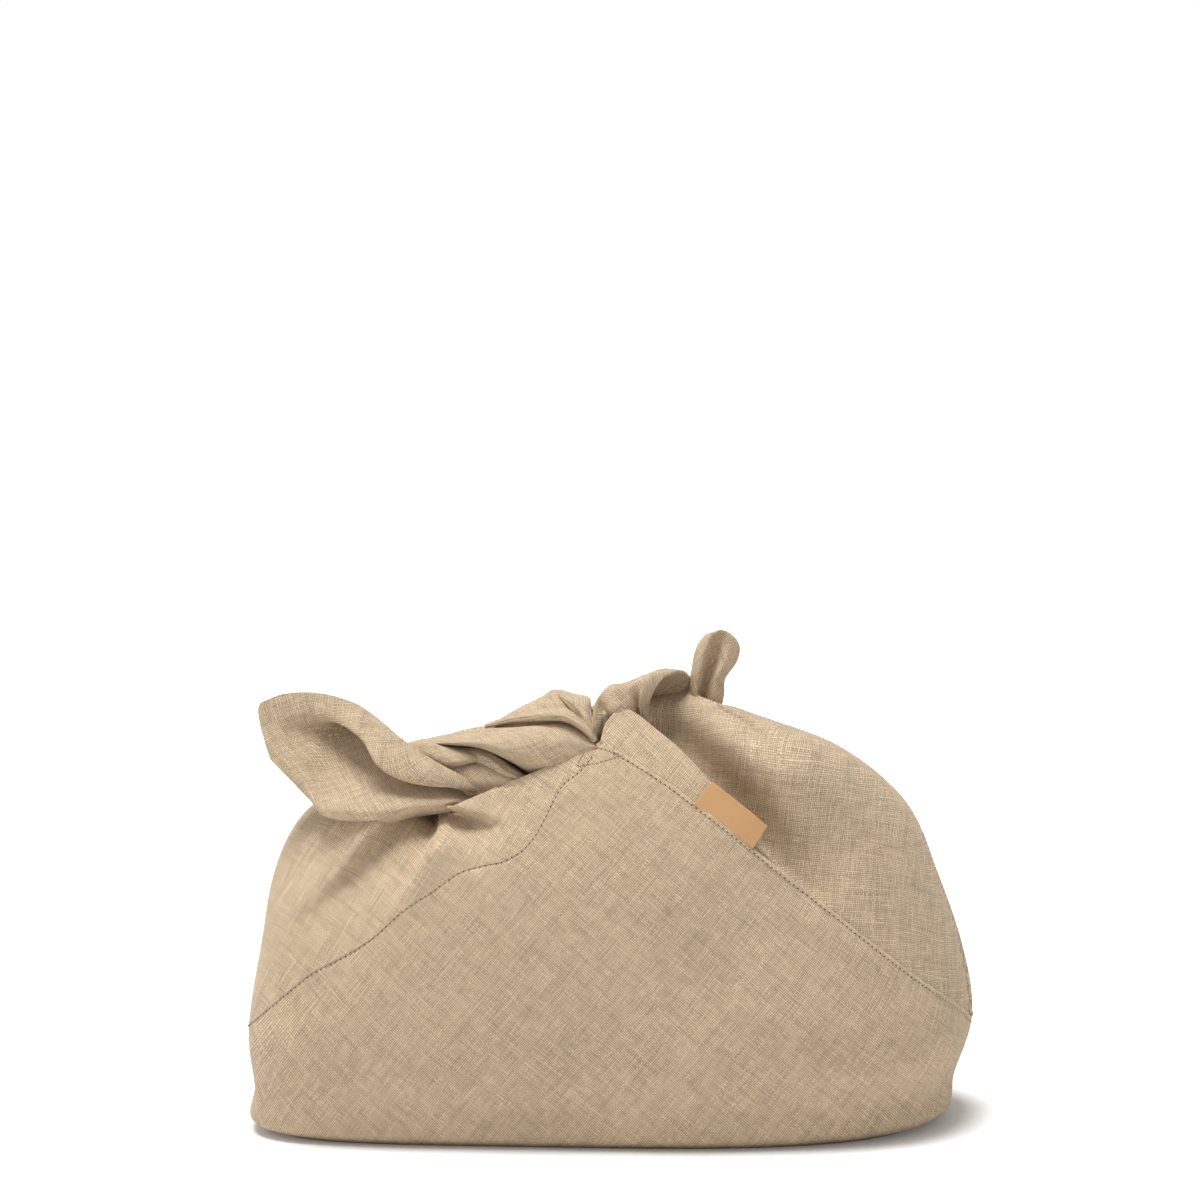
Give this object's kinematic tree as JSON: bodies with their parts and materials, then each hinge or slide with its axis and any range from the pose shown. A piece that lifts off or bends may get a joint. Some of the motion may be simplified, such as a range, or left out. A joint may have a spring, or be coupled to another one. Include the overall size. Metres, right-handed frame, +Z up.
{
  "type": "bread bag",
  "caption": "Linen bread bag folded from lined squares, with a flat base, rounded shoulders, crossing front seams and a knotted top with two soft ears.",
  "frame": {"origin": "on the floor under the middle of the bag's bounding box", "axes": "+X to the right seen from the front and along the longest side, +Y to the back, +Z up"},
  "size_m": [0.3831, 0.2302, 0.2545],
  "materials": {
    "linen": "matte plain-weave linen, natural beige",
    "lining_linen": "matte plain-weave linen, natural beige, inside layer",
    "thread": "beige sewing thread",
    "label_paper": "smooth washable kraft paper, tan"
  },
  "bodies": {
    "bag": {"centre_panel": "linen", "left_panel": "linen", "right_panel": "linen", "centre_lining": "lining_linen", "left_lining": "lining_linen", "right_lining": "lining_linen", "left_tie": "linen", "crossing_tie": "linen", "right_tie": "linen", "front_seam_thread": "thread", "front_run_thread": "thread", "back_seam_thread": "thread", "back_run_thread": "thread", "front_tack": "thread", "back_tack": "thread"},
    "left_ear": {"left_ear": "linen"},
    "right_ear": {"right_ear": "linen"},
    "label": {"label": "label_paper"}
  },
  "joints": [
    {"name": "left_ear_lift", "type": "hinge", "parent": "bag", "child": "left_ear", "pos_m": [-0.06, -0.062, 0.177], "axis": [0, 1, 0], "range_deg": [0, 45]},
    {"name": "right_ear_bend", "type": "hinge", "parent": "bag", "child": "right_ear", "pos_m": [0.051, -0.004, 0.214], "axis": [0, 1, 0], "range_deg": [-8, 30], "stiffness_Nm_per_rad": 0.02},
    {"name": "label_lift", "type": "hinge", "parent": "bag", "child": "label", "pos_m": [0.06459, -0.08316, 0.16274], "axis": [0.8151, -0.1596, -0.557], "range_deg": [0, 110], "stiffness_Nm_per_rad": 0.001}
  ]
}
